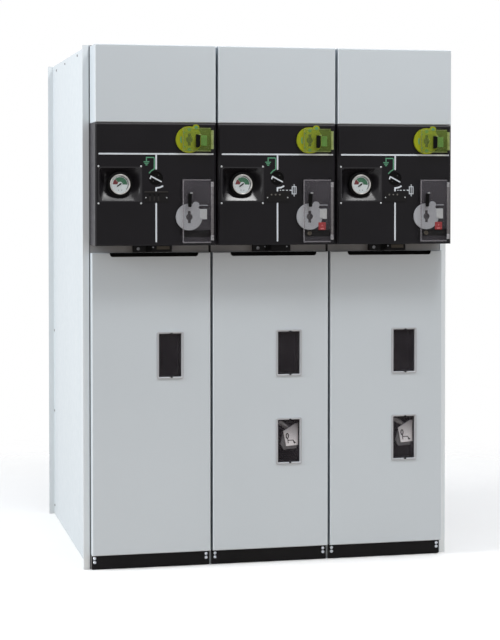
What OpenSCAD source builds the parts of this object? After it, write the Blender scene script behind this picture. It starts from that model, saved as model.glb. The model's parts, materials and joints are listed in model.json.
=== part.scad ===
// Ring main unit: three modular switchgear cubicles side by side on one base line.
// The left cubicle holds a load-break switch, the other two a fuse-switch.
// X runs along the fronts, -Y is the front, Z is up, and the floor is Z = 0.

/* [Overall] */
// Width of one cubicle, wall centre to wall centre
cubicle_pitch = 375; // [360:1:460]
// Height from the floor to the top of the frame
unit_h = 1600; // [1520:1:1900]
// Depth of the sheet frame behind the fronts
frame_d = 950; // [700:1:1100]
// Outward reach of the flanges on the two end walls
flange_reach = 18.5; // [10:0.5:40]

/* [Frame sheets] */
// Thickness of the folded steel sheet
sheet = 3; // [2:0.5:5]
// Thickness of the double wall between two cubicles
wall_t = 8; // [6:0.5:14]
// Width of the folded lip that carries the fronts
lip_w = 22; // [16:1:40]
// Height of the bottom plates above the floor
bottom_z = 20; // [10:1:36]
// Height of the rail behind the strip between door and control panel
rail_h = 80; // [50:1:140]

/* [Fronts] */
// Distance from a front's edge to the wall's centre line
front_gap = 4; // [2:0.5:8]
// Height of the plinth plate
plinth_h = 44; // [30:1:90]
// Thickness of the plinth plate
plinth_t = 10; // [4:0.5:24]
// Distance from the plinth plate's end to the wall's centre line
plinth_gap = 6.5; // [4:0.5:14]
// Gap between the plinth plate and the door
door_gap = 2; // [1:0.5:6]
// Depth of the door, which stands proud of the frame
door_proud = 32.5; // [24:0.5:50]
// Height of the open strip between door and control panel
strip_h = 24; // [22:1:40]
// Height of the control panel
panel_h = 369; // [360:1:420]
// Depth of the control panel and the upper cover in front of the frame
panel_proud = 114; // [80:1:150]
// Height of the upper cover
cover_h = 232; // [160:1:320]
// Gap between the control panel and the upper cover
cover_gap = 1; // [0.5:0.5:4]
// Drop of the upper cover's top below the top of the frame
cover_drop = 5; // [0:0.5:12]
// Outer bend radius of the sheet fronts
bend_r = 3; // [1:0.5:6]
// Chamfer on the front edges of the control panel
panel_chamfer = 4; // [2:0.5:8]

/* [Door grip] */
// Width of the finger notch in the door's top edge
notch_w = 274; // [180:1:280]
// Depth of the finger notch below the door's top edge
notch_h = 12; // [8:0.5:24]
// Depth of the finger notch behind the door's face
notch_d = 22; // [14:0.5:26]
// Offset of the notch to the right of the door's centre
notch_x = 9; // [-10:1:12]

/* [Windows] */
// Width of the window pane
pane_w = 70; // [50:1:110]
// Height of the window pane
pane_h = 133; // [100:1:180]
// Width of the frame around the pane
bezel_w = 8; // [5:0.5:12]
// Thickness of the frame in front of the door
bezel_t = 3; // [2:0.5:6]
// Offset of the windows to the right of the door's centre
window_x = 57.5; // [-60:0.5:70]
// Height of the upper window's centre, as a share of the door's height
upper_window_share = 0.659; // [0.6:0.001:0.75]
// Height of the lower window's centre, as a share of the door's height
lower_window_share = 0.361; // [0.25:0.001:0.4]

/* [Gauge] */
// Distance of the gauge's centre from the control panel's left edge
gauge_x = 75.5; // [72:0.5:90]
// Height of the gauge's centre above the control panel's bottom edge
gauge_z = 184.5; // [150:0.5:210]
// Width of the gauge's recess
recess_w = 126; // [110:1:130]
// Height of the gauge's recess
recess_h = 99; // [92:1:120]
// Depth of the gauge's recess
recess_d = 34; // [20:1:50]
// Radius of the gauge's housing
gauge_r = 39; // [36:0.5:44]
// Radius of the gauge's dial
dial_r = 31; // [22:0.5:34]
// Depth of the gauge's front below the control panel's face
gauge_sink = 7; // [3:0.5:12]

/* [Indicator] */
// Height of the position indicator above the control panel's bottom edge
indicator_z = 203; // [190:0.5:220]
// Radius of the position indicator's disc
indicator_r = 20.5; // [16:0.5:26]
// Radius of the position indicator's shaft
shaft_r = 4; // [2.5:0.5:6]

/* [Lever stations] */
// Distance of both lever discs from the control panel's right edge
disc_x = 83; // [76:0.5:90]
// Distance of the earth disc from the control panel's top edge
earth_z = 50; // [48:0.5:70]
// Height of the switch disc above the control panel's bottom edge
switch_z = 86; // [70:0.5:110]
// Radius of a lever disc
disc_r = 40; // [34:0.5:44]
// Thickness of a lever disc
disc_t = 8; // [6:0.5:12]
// Radius of the ear on a lever disc
lobe_r = 10; // [7:0.5:13]
// Radius of the lever socket
socket_r = 10; // [7:0.5:13]
// Width of the lever socket's two keyways
keyway_w = 9; // [6:0.5:12]
// Length of the lever socket over both keyways
keyway_h = 37; // [32:0.5:44]
// Side of the red trip button
button_w = 24; // [16:0.5:26]
// Distance of the trip button's centre from the control panel's right edge
button_x = 41; // [38:0.5:46]
// Height of the trip button's centre above the control panel's bottom edge
button_z = 57; // [40:0.5:60]

/* [Flaps] */
// Distance of the hinge axis from the control panel's right edge
hinge_x = 13; // [10:0.5:18]
// Reach of a flap from its hinge axis
flap_reach = 92; // [80:0.5:100]
// Thickness of a flap
flap_t = 3; // [2:0.5:4]
// Clearance between a flap and the lever disc behind it
flap_clear = 5.5; // [5:0.5:9]
// Height of the earth flap
earth_flap_h = 72; // [60:1:84]
// Height of the switch flap
switch_flap_h = 192; // [170:1:220]
// Height of the switch flap's lower edge above the control panel's bottom edge
switch_flap_z = 7.5; // [5:0.5:14]
// Outer radius of a hinge barrel
barrel_r = 4; // [3.5:0.25:5]
// Radius of a hinge pin
pin_r = 2; // [1.5:0.25:2.5]

/* [Hidden] */
$fn = 64;

// Cubicles are numbered 0, 1 and 2 from the left
cubicle_count = 3;
// Windows in each door
window_counts = [1, 2, 2];

// Overrun of every cut past the face that it opens
over = 1;
// Running clearance of pins and shafts in their bores
run_clear = 0.08;
// Running clearance at the ends of a hinge barrel
barrel_end_clear = 0.5;
// Gap around and behind the indicator's disc
indicator_gap = 1;

// Colours
sheet_grey = [0.74, 0.77, 0.79];
panel_black = [0.13, 0.13, 0.14];
plinth_black = [0.07, 0.07, 0.07];
earth_yellow = [0.58, 0.6, 0.15];
earth_green = [0.4, 0.55, 0.28, 0.6];
disc_grey = [0.62, 0.64, 0.66];
flap_clear_grey = [0.5, 0.5, 0.53, 0.5];
trip_red = [0.72, 0.2, 0.2];

// Walls and fronts
unit_w = cubicle_count * cubicle_pitch;
end_t = wall_t / 2;
inner_w = cubicle_pitch - wall_t;
front_w = cubicle_pitch - 2 * front_gap;
plinth_w = cubicle_pitch - 2 * plinth_gap;
rail_w = inner_w - 2 * lip_w;

// Planes along Y: the bounding box is centred on Y = 0
station_proud = disc_t + flap_clear + flap_t;
total_d = frame_d + panel_proud + station_proud;
panel_y = station_proud - total_d / 2;
frame_y = panel_y + panel_proud;
rear_y = frame_y + frame_d;
door_y = frame_y - door_proud;

// Levels along Z
cover_z = unit_h - cover_drop - cover_h;
panel_top = cover_z - cover_gap;
panel_z = panel_top - panel_h;
door_top = panel_z - strip_h;
door_z = plinth_h + door_gap;
door_h = door_top - door_z;

// Edges and centres on a control panel, from the cubicle's centre line
panel_left = -front_w / 2;
panel_right = front_w / 2;
gauge_cx = panel_left + gauge_x;
gauge_cz = panel_z + gauge_z;
indicator_cz = panel_z + indicator_z;
disc_cx = panel_right - disc_x;
earth_cz = panel_top - earth_z;
switch_cz = panel_z + switch_z;
hinge_cx = panel_right - hinge_x;
button_cx = panel_right - button_x;
button_cz = panel_z + button_z;
switch_flap_cz = panel_z + switch_flap_z + switch_flap_h / 2;

// Gauge recess: its moulded wall, and how far each side slopes in at the floor
recess_wall = 3;
recess_floor_t = 6;
slope_side = 14;
slope_top = 5;
slope_bottom = 21;
dial_sink = 4;

// Indicator
indicator_t = 3;
indicator_pocket_d = indicator_t + 2 * indicator_gap;
shaft_len = 12;
shaft_bore_d = shaft_len + indicator_gap;

// Lever discs: place of the ear from the disc's centre
lobe_dx = 21;
lobe_dz = 36;

// Trip button's gap to the lever disc
button_gap = 0.5;
button_t = disc_t;

// Interlock box in the strip under the control panel
interlock_w = 119;
interlock_x = 6;
interlock_t = 20;
interlock_clear = 2;

// Door grip trough
notch_r = notch_h - sheet;
trough_w = notch_w + 2 * sheet;
trough_h = notch_h + sheet;
trough_d = notch_d + sheet;

// Window parts behind the door's sheet and in front of it
plug_t = 8;
pane_sink = 1.5;
bezel_r = 5;
plug_clear = 0.3;

// Flap hinge: axis in front of the panel, lugs, pins and the leaf
hinge_y = disc_t + flap_clear - barrel_r + flap_t / 2;
plate_y = disc_t + flap_clear - hinge_y;
lug_over_barrel = 0.5;
lug_r = barrel_r + lug_over_barrel;
lug_h = 10;
pin_len = 8;
plate_clear = 1;
leaf_gap = lug_r + plate_clear;
barrel_inset = 7.5;
earth_barrel_h = earth_flap_h - 2 * barrel_inset;
switch_barrel_h = switch_flap_h - 2 * barrel_inset;
flap_corner_r = 3;

// Flap rim: its wall, and its clearance to the control panel
rim_t = 2;
rim_panel_clear = 5.5;
rim_d = disc_t + flap_clear - rim_panel_clear;

// Sets its children at one cubicle's centre line
module at_cubicle(i) {
  translate([(i - (cubicle_count - 1) / 2) * cubicle_pitch, 0, 0]) children();
}

// Extrudes a drawing of the front view towards the viewer, from Y = 0 forwards
module forwards(depth) {
  rotate([90, 0, 0]) linear_extrude(depth) children();
}

// Rectangle with round corners, centred
module rounded_rect(w, h, r) {
  square([w - 2 * r, h], center = true);
  square([w, h - 2 * r], center = true);
  for (sx = [-1, 1])
    for (sz = [-1, 1])
      translate([sx * (w / 2 - r), sz * (h / 2 - r)]) circle(r = r);
}

// Depth profile of a front: a rectangle whose two front corners are round
module round_front_profile(w, depth, r) {
  translate([-w / 2, 0]) square([w, depth - r]);
  translate([r - w / 2, 0]) square([w - 2 * r, depth]);
  for (sx = [-1, 1])
    translate([sx * (w / 2 - r), depth - r]) circle(r = r);
}

// Depth profile of a front whose two front corners are cut at 45 degrees
module chamfer_front_profile(w, depth, c) {
  polygon([
    [-w / 2, 0], [w / 2, 0], [w / 2, depth - c],
    [w / 2 - c, depth], [c - w / 2, depth], [-w / 2, depth - c]
  ]);
}

// Block between Y = 0 and -depth, from both depth profiles: child 0 across, child 1 upright
module crossed_profiles(w, h) {
  intersection() {
    linear_extrude(h) mirror([0, 1]) children(0);
    translate([-w / 2, 0, h / 2]) rotate([90, 0, 90]) linear_extrude(w) mirror([1, 0])
      rotate(-90) children(1);
  }
}

// Folded sheet pan, open at the back, standing on Z = 0
module sheet_pan(w, h, depth) {
  difference() {
    crossed_profiles(w, h) {
      round_front_profile(w, depth, bend_r);
      round_front_profile(h, depth, bend_r);
    }
    translate([sheet - w / 2, sheet - depth, sheet])
      cube([w - 2 * sheet, depth - sheet + over, h - 2 * sheet]);
  }
}

// End wall of the left side: web, outward flanges front and rear, lip for the fronts
module end_wall() {
  color(sheet_grey) translate([-unit_w / 2, frame_y, 0]) {
    cube([end_t, frame_d, unit_h]);
    for (y = [0, frame_d - sheet])
      translate([-flange_reach, y, 0]) cube([flange_reach + end_t, sheet, unit_h]);
    cube([end_t + lip_w, sheet, unit_h]);
  }
}

// Double wall between two cubicles, with a lip to each side
module partition(i) {
  color(sheet_grey) translate([(i - cubicle_count / 2) * cubicle_pitch, frame_y, 0]) {
    translate([-wall_t / 2, 0, 0]) cube([wall_t, frame_d, unit_h]);
    translate([-wall_t / 2 - lip_w, 0, 0]) cube([wall_t + 2 * lip_w, sheet, unit_h]);
  }
}

module roof_plates() {
  color(sheet_grey) for (i = [0 : cubicle_count - 1])
    at_cubicle(i) translate([-inner_w / 2, frame_y + sheet, unit_h - sheet])
      cube([inner_w, frame_d - 2 * sheet, sheet]);
}

module rear_panels() {
  color(sheet_grey) for (i = [0 : cubicle_count - 1])
    at_cubicle(i) translate([-inner_w / 2, rear_y - sheet, 0]) cube([inner_w, sheet, unit_h]);
}

module bottom_plates() {
  color(sheet_grey) for (i = [0 : cubicle_count - 1])
    at_cubicle(i) translate([-inner_w / 2, frame_y + sheet, bottom_z])
      cube([inner_w, frame_d - 2 * sheet, sheet]);
}

// Rail that closes the frame behind the strip
module cross_rail() {
  color(sheet_grey) translate([-rail_w / 2, frame_y, door_top + strip_h / 2 - rail_h / 2])
    cube([rail_w, sheet, rail_h]);
}

module plinth() {
  color(plinth_black) translate([-plinth_w / 2, frame_y - plinth_t, 0])
    cube([plinth_w, plinth_t, plinth_h]);
}

// Finger notch, seen from the front: open at the top, lower corners round
module notch_outline() {
  translate([notch_x, 0]) {
    translate([-notch_w / 2, notch_r - notch_h]) square([notch_w, notch_h - notch_r + over]);
    translate([notch_r - notch_w / 2, -notch_h]) square([notch_w - 2 * notch_r, notch_h + over]);
    for (sx = [-1, 1])
      translate([sx * (notch_w / 2 - notch_r), notch_r - notch_h]) circle(r = notch_r);
  }
}

// Places on a door where its windows sit
module at_windows(count) {
  window_shares = [upper_window_share, lower_window_share];
  for (k = [0 : count - 1])
    translate([window_x, 0, door_z + window_shares[k] * door_h]) children();
}

// Lift-off door: a sheet pan with a finger trough at the top and window openings
module door(window_count) {
  color(sheet_grey) difference() {
    union() {
      translate([0, frame_y, door_z]) sheet_pan(front_w, door_h, door_proud);
      translate([notch_x - trough_w / 2, door_y + bend_r, door_top - trough_h])
        cube([trough_w, trough_d - bend_r, trough_h]);
    }
    translate([0, door_y + notch_d, door_top]) forwards(notch_d + over) notch_outline();
    at_windows(window_count) translate([0, door_y + sheet + over, 0]) forwards(sheet + 2 * over)
      square([pane_w + 2 * plug_clear, pane_h + 2 * plug_clear], center = true);
  }
}

// Inspection windows of one door: a moulded frame with its pane
module windows(window_count) {
  color(panel_black) at_windows(window_count) difference() {
    union() {
      translate([0, door_y, 0]) forwards(bezel_t)
        rounded_rect(pane_w + 2 * bezel_w, pane_h + 2 * bezel_w, bezel_r);
      translate([0, door_y + plug_t, 0]) forwards(plug_t) square([pane_w, pane_h], center = true);
    }
    translate([0, door_y - bezel_t + pane_sink, 0]) forwards(pane_sink + over)
      square([pane_w, pane_h], center = true);
  }
}

// Two fixed lugs with stub pins for one flap, centred on the barrel
module hinge_lugs(barrel_h) {
  for (up = [-1, 1])
    translate([0, 0, up * (barrel_h / 2 + barrel_end_clear + lug_h / 2)]) {
      cylinder(r = lug_r, h = lug_h, center = true);
      translate([-lug_r, 0, -lug_h / 2]) cube([2 * lug_r, hinge_y, lug_h]);
      translate([0, 0, -up * (lug_h / 2 + pin_len / 2)])
        cylinder(r = pin_r, h = pin_len, center = true);
    }
}

// Moulded control panel with the gauge's pocket, the indicator's seat and the flap lugs
module control_panel() {
  color(panel_black) difference() {
    union() {
      translate([0, frame_y, panel_z]) crossed_profiles(front_w, panel_h) {
        chamfer_front_profile(front_w, panel_proud, panel_chamfer);
        chamfer_front_profile(panel_h, panel_proud, panel_chamfer);
      }
      translate([hinge_cx, panel_y - hinge_y, earth_cz]) hinge_lugs(earth_barrel_h);
      translate([hinge_cx, panel_y - hinge_y, switch_flap_cz]) hinge_lugs(switch_barrel_h);
    }
    translate([gauge_cx, panel_y + recess_d + recess_floor_t, gauge_cz])
      forwards(recess_d + recess_floor_t + over)
        square([recess_w + 2 * recess_wall, recess_h + 2 * recess_wall], center = true);
    translate([0, panel_y + indicator_pocket_d, indicator_cz]) forwards(indicator_pocket_d + over)
      circle(r = indicator_r + indicator_gap);
    translate([0, panel_y + indicator_pocket_d + shaft_bore_d, indicator_cz])
      forwards(shaft_bore_d + over) circle(r = shaft_r + run_clear);
  }
}

// Sloped hollow of the gauge's recess, with its mouth on Y = 0
module recess_hollow() {
  half_w = recess_w / 2;
  half_h = recess_h / 2;
  intersection() {
    translate([0, 0, -recess_h]) linear_extrude(2 * recess_h) polygon([
      [-half_w, -over], [half_w, -over], [half_w, 0],
      [half_w - slope_side, recess_d], [slope_side - half_w, recess_d], [-half_w, 0]
    ]);
    translate([-recess_w, 0, 0]) rotate([90, 0, 90]) linear_extrude(2 * recess_w) polygon([
      [-over, -half_h], [0, -half_h], [recess_d, slope_bottom - half_h],
      [recess_d, half_h - slope_top], [0, half_h], [-over, half_h]
    ]);
  }
}

// Gauge: a moulded tub with the round pressure gauge in it
module gauge() {
  color(panel_black) translate([gauge_cx, panel_y, gauge_cz]) difference() {
    union() {
      difference() {
        translate([0, recess_d + recess_floor_t, 0]) forwards(recess_d + recess_floor_t)
          square([recess_w + 2 * recess_wall, recess_h + 2 * recess_wall], center = true);
        recess_hollow();
      }
      translate([0, recess_d + over, 0]) forwards(recess_d + over - gauge_sink) circle(r = gauge_r);
    }
    translate([0, gauge_sink + dial_sink, 0]) forwards(dial_sink + over) circle(r = dial_r);
  }
}

module upper_cover() {
  color(sheet_grey) translate([0, frame_y, cover_z])
    sheet_pan(front_w, cover_h, panel_proud);
}

module interlock_box() {
  color(plinth_black)
    translate([interlock_x - interlock_w / 2, frame_y - interlock_t, door_top + interlock_clear])
      cube([interlock_w, interlock_t, strip_h - 2 * interlock_clear]);
}

// Lever disc with its ear and the keyed lever socket
module lever_disc() {
  forwards(disc_t) difference() {
    union() {
      circle(r = disc_r);
      translate([lobe_dx, lobe_dz]) circle(r = lobe_r);
    }
    circle(r = socket_r);
    square([keyway_w, keyway_h], center = true);
  }
}

module earth_disc() {
  color(earth_yellow) translate([disc_cx, panel_y, earth_cz]) lever_disc();
}

module switch_disc() {
  color(disc_grey) translate([disc_cx, panel_y, switch_cz]) lever_disc();
}

// Red trip button, cut back where the round lever disc passes it
module trip_button() {
  color(trip_red) difference() {
    translate([button_cx, panel_y, button_cz]) forwards(button_t)
      square([button_w, button_w], center = true);
    translate([disc_cx, panel_y + over, switch_cz]) forwards(button_t + 2 * over)
      circle(r = disc_r + button_gap);
  }
}

// Rim behind a flap's plate: open at the hinge and cut back around the lever disc
module flap_rim(w, h, disc_dz) {
  translate([0, rim_d - plate_y, 0]) forwards(rim_d + flap_t / 2) difference() {
    translate([-leaf_gap - w / 2, 0]) difference() {
      rounded_rect(w, h, flap_corner_r);
      translate([rim_t, 0]) square([w, h - 2 * rim_t], center = true);
    }
    translate([disc_cx - hinge_cx, disc_dz]) {
      circle(r = disc_r + flap_clear);
      translate([lobe_dx, lobe_dz]) circle(r = lobe_r + flap_clear);
    }
  }
}

// Flap about its hinge axis: plate, rim, leaf and barrel, centred in height
module flap(h, barrel_h, disc_dz) {
  plate_w = flap_reach - leaf_gap;
  difference() {
    union() {
      translate([-leaf_gap - plate_w / 2, -plate_y, 0]) forwards(flap_t)
        rounded_rect(plate_w, h, flap_corner_r);
      flap_rim(plate_w, h, disc_dz);
      translate([-leaf_gap - flap_corner_r, -plate_y - flap_t, -barrel_h / 2])
        cube([leaf_gap + flap_corner_r, flap_t, barrel_h]);
      cylinder(r = barrel_r, h = barrel_h, center = true);
    }
    cylinder(r = pin_r + run_clear, h = barrel_h + 2 * over, center = true);
  }
}

module earth_flap() {
  color(earth_green) translate([hinge_cx, panel_y - hinge_y, earth_cz])
    flap(earth_flap_h, earth_barrel_h, 0);
}

module switch_flap() {
  color(flap_clear_grey) translate([hinge_cx, panel_y - hinge_y, switch_flap_cz])
    flap(switch_flap_h, switch_barrel_h, switch_cz - switch_flap_cz);
}

// Position indicator: a round disc on a shaft
module indicator() {
  color(panel_black) {
    translate([0, panel_y + indicator_gap + indicator_t, indicator_cz]) forwards(indicator_t)
      circle(r = indicator_r);
    translate([0, panel_y + indicator_pocket_d + shaft_len, indicator_cz])
      forwards(shaft_len + indicator_gap + indicator_t / 2) circle(r = shaft_r);
  }
}

end_wall();  // left_end_wall
mirror([1, 0, 0]) end_wall();  // right_end_wall
partition(1);  // left_partition
partition(2);  // right_partition
roof_plates();
rear_panels();
bottom_plates();
at_cubicle(0) cross_rail();  // left_cross_rail
at_cubicle(1) cross_rail();  // middle_cross_rail
at_cubicle(2) cross_rail();  // right_cross_rail
at_cubicle(0) plinth();  // left_plinth
at_cubicle(1) plinth();  // middle_plinth
at_cubicle(2) plinth();  // right_plinth
at_cubicle(0) door(window_counts[0]);  // left_door
at_cubicle(1) door(window_counts[1]);  // middle_door
at_cubicle(2) door(window_counts[2]);  // right_door
at_cubicle(0) windows(window_counts[0]);  // left_windows
at_cubicle(1) windows(window_counts[1]);  // middle_windows
at_cubicle(2) windows(window_counts[2]);  // right_windows
at_cubicle(0) control_panel();  // left_control_panel
at_cubicle(1) control_panel();  // middle_control_panel
at_cubicle(2) control_panel();  // right_control_panel
at_cubicle(0) upper_cover();  // left_upper_cover
at_cubicle(1) upper_cover();  // middle_upper_cover
at_cubicle(2) upper_cover();  // right_upper_cover
at_cubicle(0) interlock_box();  // left_interlock_box
at_cubicle(1) interlock_box();  // middle_interlock_box
at_cubicle(2) interlock_box();  // right_interlock_box
at_cubicle(0) gauge();  // left_gauge
at_cubicle(1) gauge();  // middle_gauge
at_cubicle(2) gauge();  // right_gauge
at_cubicle(0) earth_disc();  // left_earth_disc
at_cubicle(1) earth_disc();  // middle_earth_disc
at_cubicle(2) earth_disc();  // right_earth_disc
at_cubicle(0) switch_disc();  // left_switch_disc
at_cubicle(1) switch_disc();  // middle_switch_disc
at_cubicle(2) switch_disc();  // right_switch_disc
at_cubicle(0) earth_flap();  // left_earth_flap
at_cubicle(1) earth_flap();  // middle_earth_flap
at_cubicle(2) earth_flap();  // right_earth_flap
at_cubicle(0) switch_flap();  // left_switch_flap
at_cubicle(1) switch_flap();  // middle_switch_flap
at_cubicle(2) switch_flap();  // right_switch_flap
at_cubicle(0) indicator();  // left_indicator
at_cubicle(1) indicator();  // middle_indicator
at_cubicle(2) indicator();  // right_indicator
at_cubicle(1) trip_button();  // middle_trip_button
at_cubicle(2) trip_button();  // right_trip_button
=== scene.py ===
"""Looks of the ring main unit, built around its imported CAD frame.

The frame's axes: X along the fronts, -Y towards the viewer, Z up. Places and sizes on the part are in
millimetres, and become metres where a vertex is made. The floor, lamps and camera are in metres.
"""
import json
from math import acos, atan2, copysign, cos, degrees, pi, radians, sin, sqrt

import bmesh
import bpy
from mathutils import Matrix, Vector


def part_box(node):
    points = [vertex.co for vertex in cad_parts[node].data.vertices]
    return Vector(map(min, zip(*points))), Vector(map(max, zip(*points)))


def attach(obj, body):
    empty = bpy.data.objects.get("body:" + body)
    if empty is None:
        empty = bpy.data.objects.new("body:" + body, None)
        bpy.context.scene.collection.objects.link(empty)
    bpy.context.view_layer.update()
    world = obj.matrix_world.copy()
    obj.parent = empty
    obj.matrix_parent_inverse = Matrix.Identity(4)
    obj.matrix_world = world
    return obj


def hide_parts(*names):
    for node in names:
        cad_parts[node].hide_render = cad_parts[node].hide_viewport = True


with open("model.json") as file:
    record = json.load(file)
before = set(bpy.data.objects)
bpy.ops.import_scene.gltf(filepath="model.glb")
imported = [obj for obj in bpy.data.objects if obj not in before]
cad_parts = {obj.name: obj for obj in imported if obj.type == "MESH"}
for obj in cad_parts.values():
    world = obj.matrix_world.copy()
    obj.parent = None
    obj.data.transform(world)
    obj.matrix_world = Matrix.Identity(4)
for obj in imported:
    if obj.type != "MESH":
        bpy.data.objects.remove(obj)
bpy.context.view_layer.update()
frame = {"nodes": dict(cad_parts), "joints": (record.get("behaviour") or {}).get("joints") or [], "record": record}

MM = 0.001
SIDES = ("left", "middle", "right")
FUSE_SIDES = ("middle", "right")
END_WAYS = {"left": -1.0, "right": 1.0}
HOUSING = "housing"


def box_mm(node):
    """Lowest and highest corner of a CAD node, in millimetres."""
    lo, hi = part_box(node)
    return Vector(lo) / MM, Vector(hi) / MM


def middle_of(node):
    lo, hi = box_mm(node)
    return (lo + hi) / 2


# Places taken from the CAD nodes

CENTRE = {side: middle_of(side + "_upper_cover").x for side in SIDES}
PITCH = CENTRE["middle"] - CENTRE["left"]
WALL_X = 1.5 * PITCH
END_X = abs(CENTRE["left"])
COVER_LO, COVER_HI = box_mm("left_upper_cover")
FRONT_HALF = (COVER_HI.x - COVER_LO.x) / 2
PANEL_Z, PANEL_TOP = (corner.z for corner in box_mm("left_control_panel"))
DISC_Y, PANEL_Y = (corner.y for corner in box_mm("left_switch_disc"))
_, DOOR_Y, DOOR_LOW = box_mm("left_door")[0]
PLINTH_Y = box_mm("left_plinth")[0].y
FLAP_Y = box_mm("left_switch_flap")[0].y
INDICATOR_Y = box_mm("left_indicator")[0].y
WALL_REAR = box_mm("left_end_wall")[1].y
JOINT_AT = {joint["name"]: Vector(joint["pos_m"]) / MM for joint in frame["joints"]}


# Materials

NOISE_LOW, NOISE_HIGH = 0.3, 0.7
LEAST_ROUGH = 0.02
CLEAR = (1.0, 1.0, 1.0)
COVER_PATCHES = 22.0
COVER_LOW, COVER_HIGH = 0.75, 1.35


def scaled(colour, k=1.0):
    """Opaque colour, made darker or lighter."""
    return tuple(min(1.0, c * k) for c in colour) + (1.0,)


def principled(material):
    return material.node_tree.nodes["Principled BSDF"]


def set_inputs(node, values):
    """Sets inputs of a node, each to a value or to another node's output."""
    for name, value in values.items():
        if isinstance(value, bpy.types.NodeSocket):
            node.id_data.links.new(value, node.inputs[name])
        else:
            node.inputs[name].default_value = value


def add_node(tree, kind, inputs):
    node = tree.nodes.new("ShaderNode" + kind)
    set_inputs(node, inputs)
    return node


def map_range(tree, value, start, end, low=0.0, high=1.0, smooth=False):
    """Value between start and end, stretched to low and high."""
    ends = {"From Min": start, "From Max": end, "To Min": low, "To Max": high}
    node = add_node(tree, "MapRange", {"Value": value, **ends})
    if smooth:
        node.interpolation_type = "SMOOTHSTEP"
    return node.outputs["Result"]


def maths(tree, operation, one, other):
    node = add_node(tree, "Math", {0: one, 1: other})
    node.operation = operation
    return node.outputs["Value"]


def mix_colours(tree, share, one, other):
    node = tree.nodes.new("ShaderNodeMix")
    node.data_type = "RGBA"
    set_inputs(node, {"Factor": share, "A": one, "B": other})
    return node.outputs["Result"]


def mix_shaders(tree, share, one, other):
    return add_node(tree, "MixShader", {"Fac": share, 1: one, 2: other}).outputs["Shader"]


def frame_place(tree):
    """Place on the part, in the frame's coordinates."""
    return tree.nodes.new("ShaderNodeTexCoord").outputs["Object"]


def along_axis(tree, place, axis):
    return add_node(tree, "SeparateXYZ", {"Vector": place}).outputs[axis]


def noise(tree, place, scale, detail=3.0):
    """Noise over the frame's coordinates, in cycles per metre."""
    return add_node(tree, "TexNoise", {"Vector": place, "Scale": scale, "Detail": detail}).outputs["Fac"]


def spread(tree, value, low, high):
    """Noise stretched from its usual middle range to low and high."""
    return map_range(tree, value, NOISE_LOW, NOISE_HIGH, low, high)


def finish(name, colour, roughness, specular=0.5, metallic=0.0, mottle=0.04, mottle_scale=5.0,
           rough_spread=0.06, rough_scale=45.0, grain_scale=900.0, grain=0.15, grain_depth=0.0002):
    """Procedural finish: slow tone changes, patches of roughness and a fine relief."""
    material = bpy.data.materials.new(name)
    material.use_nodes = True
    tree = material.node_tree
    place = frame_place(tree)
    patches = spread(tree, noise(tree, place, mottle_scale), 0.0, 1.0)
    tone = mix_colours(tree, patches, scaled(colour, 1.0 - mottle), scaled(colour, 1.0 + mottle))
    rough = spread(tree, noise(tree, place, rough_scale),
                   max(LEAST_ROUGH, roughness - rough_spread), roughness + rough_spread)
    relief = noise(tree, place, grain_scale, 2.0)
    bump = add_node(tree, "Bump", {"Strength": grain, "Distance": grain_depth, "Height": relief})
    set_inputs(principled(material), {
        "Base Color": tone, "Roughness": rough, "Metallic": metallic, "Specular IOR Level": specular,
        "Normal": bump.outputs["Normal"]})
    return material


def shade_along(material, axis, edge, band, colour, repeat=None):
    """Lets a finish turn to another colour along an axis, over a band before or after an edge; the script uses it
    to paint light and shade.

    With a repeat, the edge is a distance from the nearest whole multiple of it, on both its sides.
    """
    tree = material.node_tree
    base = principled(material).inputs["Base Color"]
    tone = base.links[0].from_socket
    along = along_axis(tree, frame_place(tree), axis)
    if repeat:
        along = maths(tree, "PINGPONG", along, repeat / 2 * MM)
    share = map_range(tree, along, (edge + band[0]) * MM, (edge + band[1]) * MM)
    tree.links.new(mix_colours(tree, share, tone, scaled(colour)), base)


def clear_moulding(name, colour, thin, thick, painted_light_rise=None, through=CLEAR, roughness=0.5, specular=0.1):
    """Clear sheet with a coat whose cover changes from thin to thick in patches, and can thicken with height:
    painted light that makes the sheet lighter towards its top.
    """
    material = finish(name, colour, roughness, specular=specular, mottle=0.05, mottle_scale=30.0, grain=0.05)
    tree = material.node_tree
    place = frame_place(tree)
    cover = spread(tree, noise(tree, place, COVER_PATCHES), thin, thick)
    if painted_light_rise:
        height = along_axis(tree, place, "Z")
        painted_top_light = map_range(tree, height, painted_light_rise[0] * MM, painted_light_rise[1] * MM, COVER_LOW, COVER_HIGH)
        cover = maths(tree, "MULTIPLY", cover, painted_top_light)
    clear = add_node(tree, "BsdfTransparent", {"Color": scaled(through)})
    mixed = mix_shaders(tree, cover, clear.outputs["BSDF"], principled(material).outputs["BSDF"])
    tree.links.new(mixed, tree.nodes["Material Output"].inputs["Surface"])
    return material


SHEET_GREY = (0.53, 0.582, 0.62)
# Painted shade: a darker grey for the cross rails, and in the table below for the partitions and the walls' inner
# faces, which sit in shadow under and behind the fronts
PAINTED_SHADE_GREY = (0.37, 0.375, 0.385)


def paint(name):
    """Grey powder coat of the sheets."""
    return finish(name, SHEET_GREY, 0.45, specular=0.3, mottle=0.012, mottle_scale=2.2, grain_scale=420.0,
                  grain=0.10)


def coat(name, colour, roughness, specular, mottle, patches=5.0, grain_scale=900.0):
    """Finish of a small piece, with the usual relief."""
    return finish(name, colour, roughness, specular=specular, mottle=mottle, mottle_scale=patches,
                  grain_scale=grain_scale)


def zinc(name, colour, roughness, mottle, rough_spread):
    return finish(name, colour, roughness, metallic=1.0, mottle=mottle, mottle_scale=300.0,
                  rough_spread=rough_spread, grain_scale=1500.0)


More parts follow.
